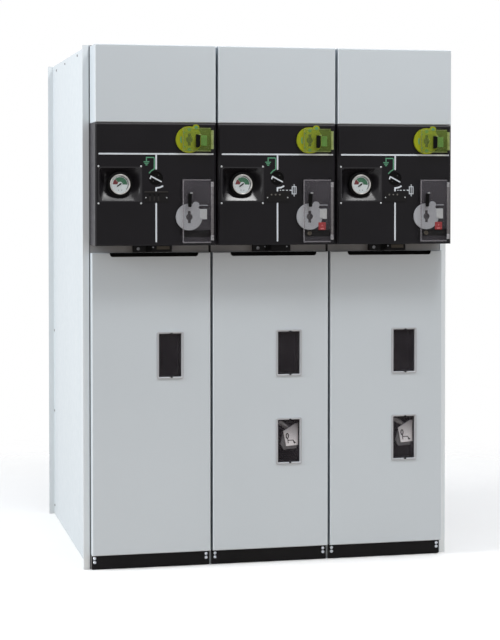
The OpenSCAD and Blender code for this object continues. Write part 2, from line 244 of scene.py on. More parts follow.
GREY_PAINT, WALL_PAINT, FRONT_PAINT, PARTITION_PAINT = (
    paint(kind + "_paint") for kind in ("grey", "wall", "front", "partition"))
# The cross rails in the darker grey: painted shade under the control panels
RAIL_PAINTED_SHADE = coat("rail_in_painted_shade", PAINTED_SHADE_GREY, 0.5, 0.2, 0.05, 8.0)
BLACK_PAINT = finish("black_paint", (0.008, 0.0075, 0.008), 0.5, specular=0.1, mottle=0.15,
                     grain_scale=500.0, grain=0.2)
BLACK_MOULDING = finish("black_moulding", (0.0060, 0.0053, 0.0068), 0.4, specular=0.13,
                        mottle=0.12, mottle_scale=9.0, grain_scale=1300.0, grain=0.25)
GLOSS_BLACK = finish("gloss_black", (0.004, 0.004, 0.005), 0.23, specular=0.18, mottle=0.1,
                     grain_scale=700.0, grain=0.05)
DISH_BLACK = finish("dish_black", (0.0135, 0.0128, 0.0150), 0.23, specular=0.27, mottle=0.1,
                    rough_spread=0.01, grain_scale=700.0, grain=0.03)
DEEP_BLACK = coat("deep_black", (0.004, 0.004, 0.004), 0.7, 0.05, 0.2)
WHITE_PRINT = coat("white_print", (0.60, 0.65, 0.70), 0.45, 0.3, 0.03, 60.0, 2000.0)
GREEN_PRINT = coat("green_print", (0.085, 0.26, 0.155), 0.45, 0.3, 0.06, 60.0, 2000.0)
ZINC = zinc("zinc", (0.34, 0.345, 0.36), 0.38, 0.1, 0.1)
BRIGHT_ZINC = zinc("bright_zinc", (0.62, 0.64, 0.68), 0.3, 0.1, 0.08)
DARK_ZINC = zinc("dark_zinc", (0.16, 0.16, 0.165), 0.42, 0.15, 0.1)
PALE_METAL = finish("pale_metal", (0.44, 0.425, 0.41), 0.34, metallic=0.85, mottle=0.05,
                    mottle_scale=80.0, grain_scale=1500.0)
EARTH_PLASTIC = coat("earth_plastic", (0.262, 0.297, 0.010), 0.42, 0.14, 0.06, 25.0, 1600.0)
GREY_PLASTIC = coat("grey_plastic", (0.335, 0.35, 0.375), 0.45, 0.15, 0.04, 25.0, 1600.0)
PALE_PLASTIC = coat("pale_plastic", (0.60, 0.63, 0.65), 0.4, 0.35, 0.03, 40.0, 1600.0)
RED_PLASTIC = coat("red_plastic", (0.30, 0.022, 0.022), 0.42, 0.15, 0.06, 40.0, 1600.0)
PALE_RED = coat("pale_red", (0.55, 0.15, 0.15), 0.45, 0.5, 0.05, 60.0)
TAB_PALE = coat("tab_pale", (0.46, 0.48, 0.49), 0.42, 0.2, 0.04, 60.0, 1600.0)
TAB_GREEN = coat("tab_green", (0.078, 0.27, 0.145), 0.42, 0.15, 0.06, 60.0, 1600.0)
DIAL_WHITE = coat("dial_white", (0.60, 0.66, 0.68), 0.5, 0.5, 0.02, 90.0)
DIAL_GREEN = coat("dial_green", (0.021, 0.115, 0.056), 0.5, 0.5, 0.08, 120.0)
DIAL_RED = coat("dial_red", (0.115, 0.008, 0.011), 0.5, 0.5, 0.08, 120.0)
BEZEL_GREY = coat("bezel_grey", (0.395, 0.41, 0.435), 0.42, 0.3, 0.03, 30.0, 1400.0)
PLATE_GREY = coat("plate_grey", (0.92, 0.90, 0.95), 0.45, 0.3, 0.10, 35.0)
LIP_BROWN = coat("lip_brown", (0.020, 0.018, 0.017), 0.5, 0.15, 0.1)
KEY_BROWN = coat("key_brown", (0.018, 0.016, 0.016), 0.5, 0.15, 0.1)
LAMP_BEIGE = coat("lamp_beige", (0.11, 0.105, 0.095), 0.35, 0.3, 0.1, 120.0)
PLUG_BROWN = coat("plug_brown", (0.075, 0.066, 0.052), 0.45, 0.2, 0.1, 120.0)
SOCKET_GREY = coat("socket_grey", (0.060, 0.058, 0.061), 0.5, 0.15, 0.1, 90.0)
TUBE_GREY = coat("tube_grey", (0.10, 0.10, 0.105), 0.4, 0.4, 0.1)
TUBE_PALE = coat("tube_pale", (0.17, 0.165, 0.168), 0.3, 0.5, 0.1)
FROSTED = coat("frosted_barrel", (0.13, 0.124, 0.13), 0.3, 0.25, 0.2, 160.0)
FROSTED_BRIGHT = coat("frosted_knuckle", (0.27, 0.27, 0.285), 0.3, 0.25, 0.45, 240.0)
GREEN_BARREL = coat("green_barrel", (0.24, 0.30, 0.13), 0.3, 0.25, 0.12, 120.0)
# Heights over which the flaps' haze thickens: painted light, so the flaps are lighter towards their top as if more
# brightly lit there
SWITCH_FLAP_PAINTED_LIGHT = (PANEL_Z + 45.0, PANEL_Z + 200.0)
EARTH_FLAP_PAINTED_LIGHT = (PANEL_Z + 283.0, PANEL_Z + 355.0)
CLEAR_FLAP = clear_moulding("clear_flap", (0.06, 0.06, 0.065), 0.015, 0.025, roughness=0.12,
                            specular=0.5)
GREEN_FLAP = clear_moulding("green_flap", (0.10, 0.14, 0.04), 0.015, 0.025,
                            through=(0.94, 0.93, 0.80), roughness=0.12, specular=0.5)
PANE = clear_moulding("pane", (0.12, 0.105, 0.127), 0.065, 0.105, roughness=0.1, specular=0.5)
DIAL_GLASS = clear_moulding("dial_glass", (0.04, 0.04, 0.04), 0.03, 0.04, roughness=0.06,
                            specular=0.5)
# Haze behind the flaps: partly the plastic's own veil, and where it thickens upwards, painted light
CLEAR_HAZE_AND_TOP_LIGHT = clear_moulding("clear_haze_and_painted_light", (0.30, 0.285, 0.33), 0.055, 0.075, SWITCH_FLAP_PAINTED_LIGHT)
# Paler strips along the flaps' edges: painted highlights of the moulded edges
EDGE_HIGHLIGHT = clear_moulding("painted_edge_highlight", (0.45, 0.44, 0.48), 0.17, 0.26)
GREEN_HAZE_AND_TOP_LIGHT = clear_moulding("green_haze_and_painted_light", (0.42, 0.64, 0.24), 0.11, 0.15, EARTH_FLAP_PAINTED_LIGHT)
GREEN_EDGE_HIGHLIGHT = clear_moulding("green_painted_edge_highlight", (0.42, 0.52, 0.27), 0.14, 0.20)

# Painted light and shade on edges, folds, flanges and shaded parts: finish, axis, edge, band beside it, colour,
# and repeat if any

WALL_T = 4.0
BOTH_WALLS = 4.0 * WALL_X
SHADES = (
    # Painted highlight: a lighter band along the control panels' top edge, where light from above falls
    (BLACK_MOULDING, "Z", PANEL_TOP, (-6.5, -1.0), (0.10, 0.098, 0.104)),
    # Painted shade: the cable plates behind the lower windows turn darker towards their top, shaded by the door
    # above the pane
    (PLATE_GREY, "Z", 0.0, (362.0, 425.0), (0.36, 0.355, 0.375)),
    # Painted light: the end walls' flanges, which stand out past their sides, are paler as if more brightly lit
    (WALL_PAINT, "X", WALL_X, (0.3, 0.7), (0.72, 0.765, 0.79), BOTH_WALLS),
    # Painted light: the rear flanges are paler than the wall, as if more brightly lit, though less than the front
    # flanges
    (WALL_PAINT, "Y", WALL_REAR, (-5.0, -4.5), (0.655, 0.70, 0.725)),
    # Painted shade: the end walls' inner faces take the darker grey, for the shade inside the enclosure
    (WALL_PAINT, "X", WALL_X - WALL_T, (0.7, 0.3), PAINTED_SHADE_GREY, BOTH_WALLS),
    # Painted shade: the partitions turn darker above the plinth, in the shaded gaps between the fronts
    (PARTITION_PAINT, "Z", DOOR_LOW, (0.0, 10.0), PAINTED_SHADE_GREY),
    # Painted highlight: a paler band along the vertical edges of the doors and covers, where the folds catch the
    # light
    (FRONT_PAINT, "X", FRONT_HALF, (-3.2, -1.8), (0.66, 0.715, 0.75), PITCH),
    # Painted shade: the side faces of the doors and covers are a little darker than the paint, which tones down
    # their lit sides
    (FRONT_PAINT, "X", FRONT_HALF, (-0.5, -0.2), (0.50, 0.555, 0.60), PITCH),
    # Painted light: the control panels' side faces are lighter grey, where the side lamp falls on them
    (BLACK_MOULDING, "X", FRONT_HALF, (-0.9, -0.3), (0.038, 0.036, 0.042), PITCH),
)
for shade in SHADES:
    shade_along(*shade)

SLOT_FINISH = {
    "grey_sheet": GREY_PAINT, "black_sheet": BLACK_PAINT, "black_panel": BLACK_MOULDING,
    "window_plastic": GLOSS_BLACK, "earth_disc": EARTH_PLASTIC, "switch_disc": GREY_PLASTIC,
    "green_flap": GREEN_FLAP, "clear_flap": CLEAR_FLAP, "red_button": RED_PLASTIC,
}
KIND_FINISH = {
    "indicator": DEEP_BLACK, "cross_rail": RAIL_PAINTED_SHADE, "door": FRONT_PAINT, "upper_cover": FRONT_PAINT,
    "end_wall": WALL_PAINT, "partition": PARTITION_PAINT,
}
for subpart in frame["record"]["subparts"]:
    kind = subpart["node"].partition("_")[2]
    node_finish = KIND_FINISH.get(kind, SLOT_FINISH[subpart["material_slot"]])
    for holder in frame["nodes"][subpart["node"]].material_slots:
        holder.material = node_finish


# Mesh helpers. A front outline is a list of X and Z places that runs anticlockwise, seen from the front

SEAT = 0.1
MITRE_LEAST = 0.35
TO_FRONT = (0.0, -1.0, 0.0)
SCREW_PROFILE = ((1.0, 0.35), (0.9, 0.7), (0.68, 1.0), (0.46, 1.0), (0.42, 0.9), (0.42, 0.25))
SCREW_SEAT, SCREW_STEPS = -0.2, 18


def add_object(name, data):
    obj = bpy.data.objects.new(name, data)
    bpy.context.scene.collection.objects.link(obj)
    return obj


def to_mesh(name, bm, material):
    mesh = bpy.data.meshes.new(name)
    bm.to_mesh(mesh)
    bm.free()
    mesh.materials.append(material)
    return mesh


def piece(name, bm, material, body=HOUSING, sharp=35.0):
    """Turns a finished bmesh into a scene piece that rides on a body."""
    bmesh.ops.recalc_face_normals(bm, faces=bm.faces)
    mesh = to_mesh(name, bm, material)
    for polygon in mesh.polygons:
        polygon.use_smooth = True
    mesh.set_sharp_from_angle(angle=radians(sharp))
    obj = add_object(name, mesh)
    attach(obj, body)
    return obj


def loft(bm, rings, closed=False):
    """Skin over rings of equally many points, capped at both ends or closed into itself."""
    loops = [[bm.verts.new(Vector(point) * MM) for point in ring] for ring in rings]
    pairs = list(zip(loops, loops[1:]))
    if closed:
        pairs.append((loops[-1], loops[0]))
    for near, far in pairs:
        for i in range(len(near)):
            j = (i + 1) % len(near)
            bm.faces.new((near[i], near[j], far[j], far[i]))
    if not closed:
        bm.faces.new(loops[0])
        bm.faces.new(loops[-1][::-1])


def inset(outline, distance):
    """Outline moved inwards, mitred at its corners."""
    moved = []
    for i, here in enumerate(outline):
        before = Vector(outline[i - 1])
        after = Vector(outline[(i + 1) % len(outline)])
        here = Vector(here)
        way_in = (here - before).normalized()
        way_out = (after - here).normalized()
        normal_in = Vector((-way_in.y, way_in.x))
        normal_out = Vector((-way_out.y, way_out.x))
        share = distance / max(MITRE_LEAST, 1.0 + normal_in.dot(normal_out))
        moved.append(here + (normal_in + normal_out) * share)
    return moved


def shifted(points, x, z):
    return [(x + dx, z + dz) for dx, dz in points]


def at_depth(outline, y):
    return [(x, y, z) for x, z in outline]


def prism(bm, outline, y_back, y_front, bevel=0.4):
    """Block with a front outline and a bevelled front edge."""
    loft(bm, [at_depth(outline, y_back), at_depth(outline, y_front + bevel),
              at_depth(inset(outline, bevel), y_front)])


def raised(bm, outline, face_y, height, bevel):
    """Block that stands out from a front face and is seated a little into it."""
    prism(bm, outline, face_y + SEAT, face_y - height, bevel)


def hollow(bm, outside, inside, y_back, y_front):
    """Wall between two outlines, open at the front and the back."""
    loft(bm, [at_depth(outside, y_back), at_depth(outside, y_front), at_depth(inside, y_front),
              at_depth(inside, y_back)], closed=True)


def stroke(points, width, steps=6):
    """Outline of a line of even width with round ends."""
    path = [Vector(point) for point in points]
    half = width / 2
    right, left = [], []
    for i, here in enumerate(path):
        way_in = (here - path[i - 1]).normalized() if i else (path[1] - here).normalized()
        way_out = (path[i + 1] - here).normalized() if i + 1 < len(path) else way_in
        normal_in = Vector((way_in.y, -way_in.x))
        normal_out = Vector((way_out.y, -way_out.x))
        reach = (normal_in + normal_out) * half / (1.0 + normal_in.dot(normal_out))
        right.append(here + reach)
        left.append(here - reach)

    def cap(centre, start):
        turn = [start + pi * k / steps for k in range(1, steps)]
        return [centre + Vector((cos(a), sin(a))) * half for a in turn]

    end_way = (path[-1] - path[-2]).normalized()
    start_way = (path[1] - path[0]).normalized()
    end_cap = cap(path[-1], atan2(end_way.y, end_way.x) - pi / 2)
    start_cap = cap(path[0], atan2(start_way.y, start_way.x) + pi / 2)
    return right + end_cap + left[::-1] + start_cap


def arc(cx, cz, radius, start, end, steps):
    """Points on a circle between two angles in degrees, both included."""
    angles = [radians(start + (end - start) * k / steps) for k in range(steps + 1)]
    return [Vector((cx + radius * cos(a), cz + radius * sin(a))) for a in angles]


def disc(cx, cz, radius, steps=32):
    return arc(cx, cz, radius, 0.0, 360.0, steps)[:-1]


def sector(cx, cz, radii, sweep, steps):
    """Part of a ring between an outer and an inner radius, over a sweep in degrees."""
    start, end = sweep
    return arc(cx, cz, radii[0], start, end, steps) + arc(cx, cz, radii[1], end, start, steps)


def round_rect(cx, cz, w, h, r, steps=5):
    corners = ((w / 2 - r, h / 2 - r, 0.0), (r - w / 2, h / 2 - r, 90.0),
               (r - w / 2, r - h / 2, 180.0), (w / 2 - r, r - h / 2, 270.0))
    return [p for dx, dz, a in corners for p in arc(cx + dx, cz + dz, r, a, a + 90.0, steps)]


def box_outline(x0, x1, z0, z1):
    return [(x0, z0), (x1, z0), (x1, z1), (x0, z1)]


def turned(bm, profile, centre, axis=TO_FRONT, steps=28, closed=False):
    """Turned form: the profile pairs a radius with a distance along the axis."""
    axis = Vector(axis)
    side = axis.orthogonal().normalized()
    up = axis.cross(side)
    ways = [side * cos(2 * pi * k / steps) + up * sin(2 * pi * k / steps)
            for k in range(steps)]
    loft(bm, [[Vector(centre) + axis * d + way * r for way in ways] for r, d in profile], closed)


def screw_head(bm, centre, radius, height, axis=TO_FRONT):
    """Round head with a socket, seated on a surface at centre."""
    profile = [(radius, SCREW_SEAT)] + [(r * radius, h * height) for r, h in SCREW_PROFILE]
    turned(bm, profile, centre, axis, steps=SCREW_STEPS)


# Mimic diagram, with places from a cubicle's centre and its control panel's bottom edge

LINE_W, EARTH_LINE_W = 4.8, 3.3
PRINT_T, PRINT_BEVEL, THIN_BEVEL = 0.5, 0.15, 0.1
BUS_Z, BUS_ENDS = 275.7, (-171.0, 174.0)
LINE_X = 0.8
DROPS = [
    [(LINE_X, BUS_Z - LINE_W / 2 - 1.0), (LINE_X, 231.0)],
    [(LINE_X, 126.5), (LINE_X, 12.5)],
    [(20.0, 179.0), (12.0, 175.0), (0.6, 173.4), (0.6, 165.0)],
]
DASH_Z, DASH_ENDS = (165.6, 168.0), ((8.0, 12.0), (15.5, 22.0), (27.0, 33.5))
FUSE_BARS = [
    (45.8, 47.9, 154.5, 178.5), (58.1, 60.2, 154.5, 178.5), (47.9, 58.1, 176.4, 178.5),
    (47.9, 58.1, 154.5, 156.6), (52.1, 53.9, 156.6, 176.4), (52.0, 54.0, 178.5, 185.0),
    (52.0, 54.0, 148.0, 154.5), (38.5, 45.8, 165.6, 168.0),
]
EARTH_LEAD = [(-20.2, 218.5), (-13.5, 225.5), (-4.8, 231.0), (-4.8, 262.8), (-7.0, 265.0),
              (-28.7, 265.0), (-28.7, 253.0)]
EARTH_X, EARTH_BAR_H = -28.7, 3.2
EARTH_BARS = ((17.5, 252.0), (12.0, 247.4), (6.0, 242.8))


def on_panel(points, side):
    """Places given from the cubicle's centre and the panel's bottom edge, in the frame."""
    return shifted(points, CENTRE[side], PANEL_Z)


def earth_bar(width, z):
    return box_outline(EARTH_X - width / 2, EARTH_X + width / 2, z - EARTH_BAR_H / 2, z + EARTH_BAR_H / 2)


white_lines = [stroke([(x, BUS_Z) for x in BUS_ENDS], LINE_W)]
white_lines += [stroke(points, LINE_W) for points in DROPS]
fuse_dashes = [box_outline(*ends, *DASH_Z) for ends in DASH_ENDS]
fuse_bars = [box_outline(*bar) for bar in FUSE_BARS]
earth_lines = [stroke(EARTH_LEAD, EARTH_LINE_W)] + [earth_bar(width, z) for width, z in EARTH_BARS]
white, green = bmesh.new(), bmesh.new()
for side in SIDES:
    for outline in white_lines + (fuse_dashes if side in FUSE_SIDES else []):
        raised(white, on_panel(outline, side), PANEL_Y, PRINT_T, PRINT_BEVEL)
    for outline in fuse_bars if side in FUSE_SIDES else []:
        raised(white, on_panel(outline, side), PANEL_Y, PRINT_T, THIN_BEVEL)
    for outline in earth_lines:
        raised(green, on_panel(outline, side), PANEL_Y, PRINT_T, PRINT_BEVEL)
piece("mimic_lines", white, WHITE_PRINT)
piece("earth_symbols", green, GREEN_PRINT)

HOOK, HOOK_W, HOOK_T = ((-17.2, -1.0), (-14.4, 5.4), (16.4, -10.6)), 3.8, 0.8
PINS, PIN_R, PIN_H = ((8.0, 8.5), (-8.0, -9.0)), 1.6, 0.7
for side in SIDES:
    body = side + "_indicator"
    turn = JOINT_AT[side + "_indicator_turn"]
    hook = bmesh.new()
    raised(hook, stroke(shifted(HOOK, turn.x, turn.z), HOOK_W), INDICATOR_Y, HOOK_T, 0.2)
    piece(side + "_indicator_bar", hook, WHITE_PRINT, body)
    pins = bmesh.new()
    for x, z in shifted(PINS, turn.x, turn.z):
        screw_head(pins, (x, INDICATOR_Y, z), PIN_R, PIN_H)
    piece(side + "_indicator_pins", pins, SOCKET_GREY, body)


# Gauges: a scooped tub with the round pressure gauge in it, in place of the plainer CAD node

TUB_W, TUB_H, TUB_R, TUB_BACK = 132.0, 105.0, 1.5, 40.0
MOUTH_W, MOUTH_H, MOUTH_R = 126.0, 99.0, 9.0
DISH_DEPTH, DISH_STEPS = 29.0, 30
FLOOR_BLEND, TOP_BLEND, LEFT_BLEND, RIGHT_BLEND = 9.0, 20.0, 14.0, 20.0
TOP_SLOPE, LEFT_SLOPE, RIGHT_SLOPE = 1.3, 2.2, 1.15
BOTTOM_SLOPE, BOTTOM_BEND = 0.648, 0.0010
BOWL, BOWL_REACH, BOWL_POWER = 0.25, 57.0, 4
GAUGE_R, GAUGE_SINK, GAUGE_EDGE = 37.0, 1.0, 1.5
DIAL_R, DIAL_SINK = 28.4, 4.0
GAUGE_Y = PANEL_Y + DIAL_SINK
SPOKES = 96
TINY = 1e-9
ROUND_STEPS = 64
RIM_PROFILE = [(26.8, 1.2), (26.8, 3.2), (27.4, 4.4), (28.6, 5.0), (29.8, 4.6), (30.4, 3.6), (30.4, 2.8),
               (28.3, 2.8), (28.3, 1.2)]
COLLAR_PROFILE = [(30.2, 2.7), (30.2, 3.2), (35.6, 3.2), (37.2, 1.6), (37.2, -22.0), (36.6, -22.0),
                  (36.6, 1.4), (35.4, 2.7)]
HUB_PROFILE = [(2.6, 0.5), (2.6, 2.0), (1.8, 2.5)]
GLASS_PROFILE = [(26.6, 1.9), (26.6, 2.7), (19.0, 3.1), (8.0, 3.3)]
FACE_R, FACE_T, FACE_BEVEL = 28.2, 0.9, 0.1
INK_T, INK_BEVEL = 0.15, 0.05
SECTOR_R, SCALE_R, TICK_R = (21.5, 7.5), (25.0, 23.5), (22.6, 25.4)
GREEN_SWEEP, RED_SWEEP, SCALE_SWEEP = (-3.0, 133.0), (135.0, 181.0), (-40.0, 85.0)
TICKS, FIRST_TICK, TICK_STEP, TICK_W = 9, -20.0, 27.5, 0.7
DOT_X, DOT_Z, DOT_R = 4.6, -17.5, 1.2
NEEDLE_WAY, NEEDLE_ENDS, NEEDLE_W = 216.0, (-3.5, 10.0), 3.6
NEEDLE_BACK, NEEDLE_FRONT = 1.0, 1.8


def spoke_rect(w, h, r):
    """Places where the spokes meet a rounded rectangle's edge."""
    points = []
    for k in range(SPOKES):
        a = 2 * pi * k / SPOKES
        c, s = cos(a), sin(a)
        t = min(w / 2 / max(abs(c), TINY), h / 2 / max(abs(s), TINY))
        x, z = t * c, t * s
        cx, cz = copysign(w / 2 - r, c), copysign(h / 2 - r, s)
        if abs(x) > w / 2 - r and abs(z) > h / 2 - r:
            along = c * cx + s * cz
            t = along + sqrt(max(0.0, along * along - cx * cx - cz * cz + r * r))
            x, z = t * c, t * s
        points.append(Vector((x, z)))
    return points


def blend_low(one, other, reach):
    """Lower of two depths, with a rounded meeting."""
    near = max(0.0, 1.0 - abs(one - other) / reach)
    return min(one, other) - near * near * reach / 4


def dish_depth(point):
    """Depth of the dish at a point: sloping walls round a level floor, gentlest at the bottom."""
    up = point.y + MOUTH_H / 2
    aside = point.x / BOWL_REACH
    slope = BOTTOM_SLOPE * (1.0 - BOWL * aside ** BOWL_POWER)
    depth = blend_low(DISH_DEPTH, slope * up - BOTTOM_BEND * up * up, FLOOR_BLEND)
    depth = blend_low(depth, TOP_SLOPE * (MOUTH_H / 2 - point.y), TOP_BLEND)
    depth = blend_low(depth, LEFT_SLOPE * (MOUTH_W / 2 + point.x), LEFT_BLEND)
    depth = blend_low(depth, RIGHT_SLOPE * (MOUTH_W / 2 - point.x), RIGHT_BLEND)
    return max(0.0, depth)


def tub_rings():
    """Rings from the back of the tub over its lip, down the dish and up the gauge's housing."""
    outside = spoke_rect(TUB_W, TUB_H, TUB_R)
    mouth = spoke_rect(MOUTH_W, MOUTH_H, MOUTH_R)
    seat = disc(0.0, 0.0, GAUGE_R, SPOKES)
    rings = [(outside, [TUB_BACK] * SPOKES), (outside, [0.0] * SPOKES), (mouth, [0.0] * SPOKES)]
    for k in range(1, DISH_STEPS + 1):
        ring = [lip.lerp(end, k / DISH_STEPS) for lip, end in zip(mouth, seat)]
        rings.append((ring, [dish_depth(point) for point in ring]))
    for r, depth in ((GAUGE_R, GAUGE_SINK + GAUGE_EDGE), (GAUGE_R - GAUGE_EDGE, GAUGE_SINK),
                     (DIAL_R, GAUGE_SINK), (DIAL_R, DIAL_SINK + 1.0)):
        rings.append((disc(0.0, 0.0, r, SPOKES), [depth] * SPOKES))
    return rings


def inked(bm, outline):
    """Print on a gauge's dial."""
    raised(bm, outline, GAUGE_Y, INK_T, INK_BEVEL)


def on_ray(gx, gz, angle, distances):
    """Places on a ray from a gauge's centre."""
    a = radians(angle)
    return [(gx + r * cos(a), gz + r * sin(a)) for r in distances]


TUB_RINGS = tub_rings()
rims, collars, dials, greens, reds, marks, needles, glasses = (bmesh.new() for _ in range(8))
for side in SIDES:
    gauge = middle_of(side + "_gauge")
    gx, gz = gauge.x, gauge.z
    gauge_at = (gx, GAUGE_Y, gz)
    tub = bmesh.new()
    loft(tub, [[(gx + p.x, PANEL_Y + depth, gz + p.y) for p, depth in zip(ring, depths)]
               for ring, depths in TUB_RINGS])
    tub_piece = piece(side + "_gauge_tub", tub, DISH_BLACK, sharp=40.0)
    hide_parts(side + "_gauge")
    turned(rims, RIM_PROFILE, gauge_at, steps=ROUND_STEPS, closed=True)
    turned(collars, COLLAR_PROFILE, gauge_at, steps=ROUND_STEPS, closed=True)
    prism(dials, disc(gx, gz, FACE_R, ROUND_STEPS), GAUGE_Y + FACE_T, GAUGE_Y, FACE_BEVEL)
    inked(greens, sector(gx, gz, SECTOR_R, GREEN_SWEEP, 24))
    inked(reds, sector(gx, gz, SECTOR_R, RED_SWEEP, 8))
    inked(marks, sector(gx, gz, SCALE_R, SCALE_SWEEP, 24))
    for k in range(TICKS):
        inked(marks, stroke(on_ray(gx, gz, FIRST_TICK + TICK_STEP * k, TICK_R), TICK_W, 3))
    for x in (-DOT_X, DOT_X):
        inked(marks, disc(gx + x, gz + DOT_Z, DOT_R, 12))
    needle = stroke(on_ray(gx, gz, NEEDLE_WAY, NEEDLE_ENDS), NEEDLE_W)
    prism(needles, needle, GAUGE_Y - NEEDLE_BACK, GAUGE_Y - NEEDLE_FRONT, 0.15)
    turned(needles, HUB_PROFILE, gauge_at, steps=20)
    turned(glasses, GLASS_PROFILE, gauge_at, steps=48)
piece("gauge_rims", rims, PALE_METAL, sharp=50.0)
piece("gauge_collars", collars, DEEP_BLACK)
piece("gauge_dials", dials, DIAL_WHITE)
piece("gauge_green_sectors", greens, DIAL_GREEN)
piece("gauge_red_sectors", reds, DIAL_RED)
piece("gauge_marks", marks, BLACK_PAINT)
piece("gauge_needles", needles, BLACK_PAINT)
piece("gauge_glasses", glasses, DIAL_GLASS, sharp=60.0)


# Screws, plinth ends, and black strips that paint shade into the gaps beside the fronts

PLATE_T = 2.0
TUB_SCREWS = [(-173.4, 238.4), (-45.0, 238.4), (-173.4, 127.4), (-45.0, 127.4)]
PLATE_SCREWS = [(-31.0, 144.5), (32.4, 144.5)]
PANEL_SCREWS = ((TUB_SCREWS, 0.0, 2.8), (PLATE_SCREWS, PLATE_T, 1.8))
PANEL_SCREW_H = 1.5
PLINTH_SCREWS = [(-173.4, 22.5), (-173.4, 34.5), (173.4, 22.5), (173.4, 34.5)]
PLINTH_SCREW_R, PLINTH_SCREW_H = 5.3, 3.2
PLINTH_SEAM, PLINTH_LAP, FLOOR_GAP = 3.9, 0.5, 0.1
WALL_FACE, GAP_SHADE_IN, GAP_SHADE_OUT = 187.5, 184.2, 186.2
REAR_ROW, REAR_ROW_Z = 22.0, (33.0, 373.0, 660.0)
TOP_ROW = ((262.0, 12.0), (594.0, 15.0), (842.0, 20.0))
WALL_SCREW_R, WALL_SCREW_H = 4.0, 2.0
GAP_SHADE_HALF, GAP_SHADE_T, GAP_SHADE_BEVEL = 3.5, 1.0, 0.3

screws = bmesh.new()
for side in SIDES:
    for places, proud, radius in PANEL_SCREWS:
        for x, z in on_panel(places, side):
            screw_head(screws, (x, PANEL_Y - proud, z), radius, PANEL_SCREW_H)
piece("panel_screws", screws, PALE_PLASTIC)

plinth_screws = bmesh.new()
for side in SIDES:
    for x, z in PLINTH_SCREWS:
        screw_head(plinth_screws, (CENTRE[side] + x, PLINTH_Y, z), PLINTH_SCREW_R, PLINTH_SCREW_H)
piece("plinth_screws", plinth_screws, BRIGHT_ZINC)

plinth_ends = bmesh.new()
for one, other in zip(SIDES, SIDES[1:]):
    near, far = box_mm(one + "_plinth")[1], box_mm(other + "_plinth")[0]
    seam = (near.x + far.x) / 2
    for x0, x1 in ((near.x, seam - PLINTH_SEAM), (seam + PLINTH_SEAM, far.x)):
        plinth_end = box_outline(x0, x1, far.z + FLOOR_GAP, near.z)
        prism(plinth_ends, plinth_end, near.y - PLINTH_LAP, PLINTH_Y, 0.1)
piece("plinth_ends", plinth_ends, BLACK_PAINT)

wall_screws, gap_shades = bmesh.new(), bmesh.new()
for side, out in END_WAYS.items():
    lo, hi = box_mm(side + "_end_wall")
    top_row = [(lo.y + back, hi.z - drop) for back, drop in TOP_ROW]
    rear_row = [(hi.y - REAR_ROW, z) for z in REAR_ROW_Z]
    for y, z in top_row + rear_row:
        place = (out * (END_X + WALL_FACE), y, z)
        screw_head(wall_screws, place, WALL_SCREW_R, WALL_SCREW_H, (out, 0.0, 0.0))
    # Black strips on the end walls' front edges: painted shade that darkens the gaps beside the fronts
    x0, x1 = sorted((out * (END_X + GAP_SHADE_IN), out * (END_X + GAP_SHADE_OUT)))
    raised(gap_shades, box_outline(x0, x1, lo.z + 1.0, hi.z - 4.0), lo.y, GAP_SHADE_T, GAP_SHADE_BEVEL)
# Black strips on the partitions' front edges: painted shade that darkens the gaps between the fronts
for side in END_WAYS:
    lo, hi = box_mm(side + "_partition")
    seam = (lo.x + hi.x) / 2
    partition_gap_shade = box_outline(seam - GAP_SHADE_HALF, seam + GAP_SHADE_HALF, DOOR_LOW, PANEL_Z - 1.0)
    raised(gap_shades, partition_gap_shade, lo.y, GAP_SHADE_T, GAP_SHADE_BEVEL)
piece("wall_screws", wall_screws, DARK_ZINC)
piece("painted_gap_shades", gap_shades, BLACK_PAINT)


# Bare plates on the control panels, and the fittings of the interlock boxes

PLATE_X, PLATE_Z, LIP_Z, LIP_T = (-34.5, 36.5), (131.0, 161.5), (159.5, 163.5), 4.0
LAMP_X, LAMP_Z = (-18.5, -5.5, 7.5), 153.0
LAMP_PROFILE = [(2.5, -0.2), (2.5, 0.6), (1.9, 1.2), (0.8, 1.5)]
KEY_Z, KEY_W, KEY_H, KEY_R, KEY_T = 141.5, 4.4, 13.0, 1.5, 0.8
BOX_SCREW_X = 14.5
BOX_SCREW_PROFILE = [(5.4, -0.2), (5.4, 1.8), (4.9, 2.4), (4.0, 2.4), (3.6, 1.6), (3.6, 0.4)]
LOCKS = ((38.0, 45.0, 1.0, 4.0), (48.0, 56.0, 4.0, 5.0))
LOCK_BEVEL = 0.6
LOCK_PINS = {"left": (61.0,), "middle": (38.0, 107.0), "right": (61.0,)}
LOCK_PIN_DROP, LOCK_PIN_R, LOCK_PIN_H = 6.0, 2.6, 2.0
LOCK_PLATE_X, LOCK_PLATE_T = (72.0, 112.0), 1.2

